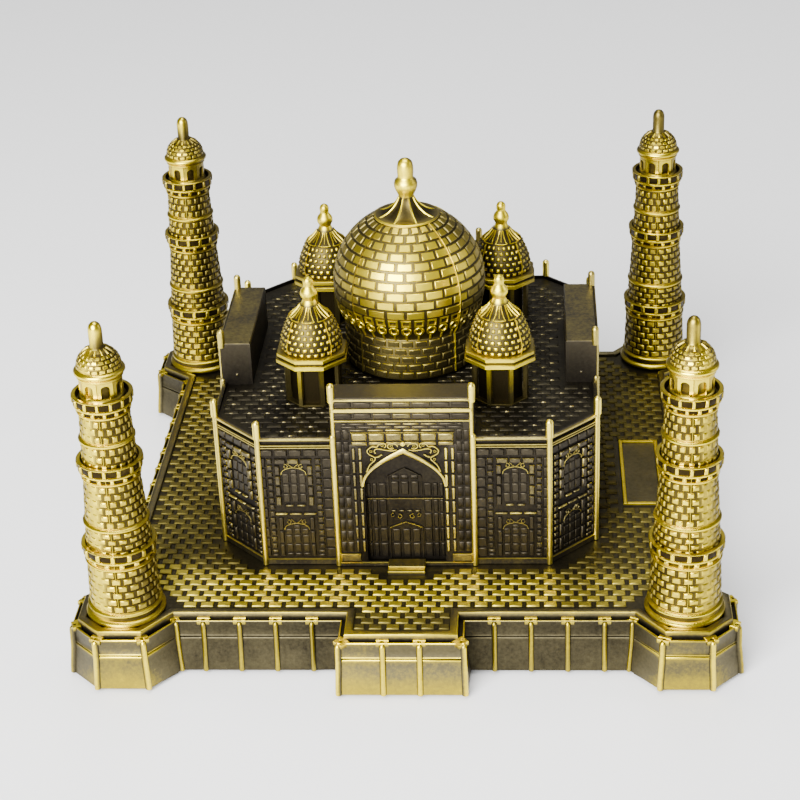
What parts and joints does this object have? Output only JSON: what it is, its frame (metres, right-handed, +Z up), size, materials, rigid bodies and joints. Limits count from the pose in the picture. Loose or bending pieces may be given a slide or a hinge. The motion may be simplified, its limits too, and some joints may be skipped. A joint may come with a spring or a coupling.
{
  "type": "miniature landmark model",
  "caption": "Miniature domed mausoleum model with roof kiosks and tall pointed-arch portals, standing on a walled square terrace with a minaret at each corner.",
  "frame": {"origin": "under the main dome's axis, on the underside of the pad that the model stands on", "axes": "+Z up, -Y towards the entrance front with the projecting forecourt, +X to the viewer's right when facing that front"},
  "size_m": [0.1298, 0.1321, 0.0848],
  "materials": {
    "terrace_brass": "antique brass plating, worn bright on raised brickwork, dark patina in the recesses",
    "tower_brass": "antique brass plating, worn bright, dark patina in the joints",
    "dome_brass": "antique brass plating, worn bright on the crowns, dark patina low down",
    "hall_bronze": "antique brass plating left mostly dark, lightly worn on ridges and frames",
    "roof_bronze": "antique brass plating, almost black patina with small bright specks",
    "screw_steel": "bright zinc plated",
    "pad_foam": "matt black foam sheet"
  },
  "bodies": {
    "root": {"base_plinth": "terrace_brass", "base_pad": "pad_foam", "wall_shell": "hall_bronze", "roof_plate": "roof_bronze", "portal_front": "hall_bronze", "portal_back": "hall_bronze", "portal_left": "hall_bronze", "portal_right": "hall_bronze", "minaret_front_left": "tower_brass", "minaret_front_right": "tower_brass", "minaret_back_left": "tower_brass", "minaret_back_right": "tower_brass", "main_dome": "dome_brass", "kiosk_front_left": "dome_brass", "kiosk_front_right": "dome_brass", "kiosk_back_left": "dome_brass", "kiosk_back_right": "dome_brass", "minaret_screws": "screw_steel", "body_screws": "screw_steel", "portal_screws": "screw_steel", "dome_screws": "screw_steel", "kiosk_screws": "screw_steel"}
  },
  "joints": []
}
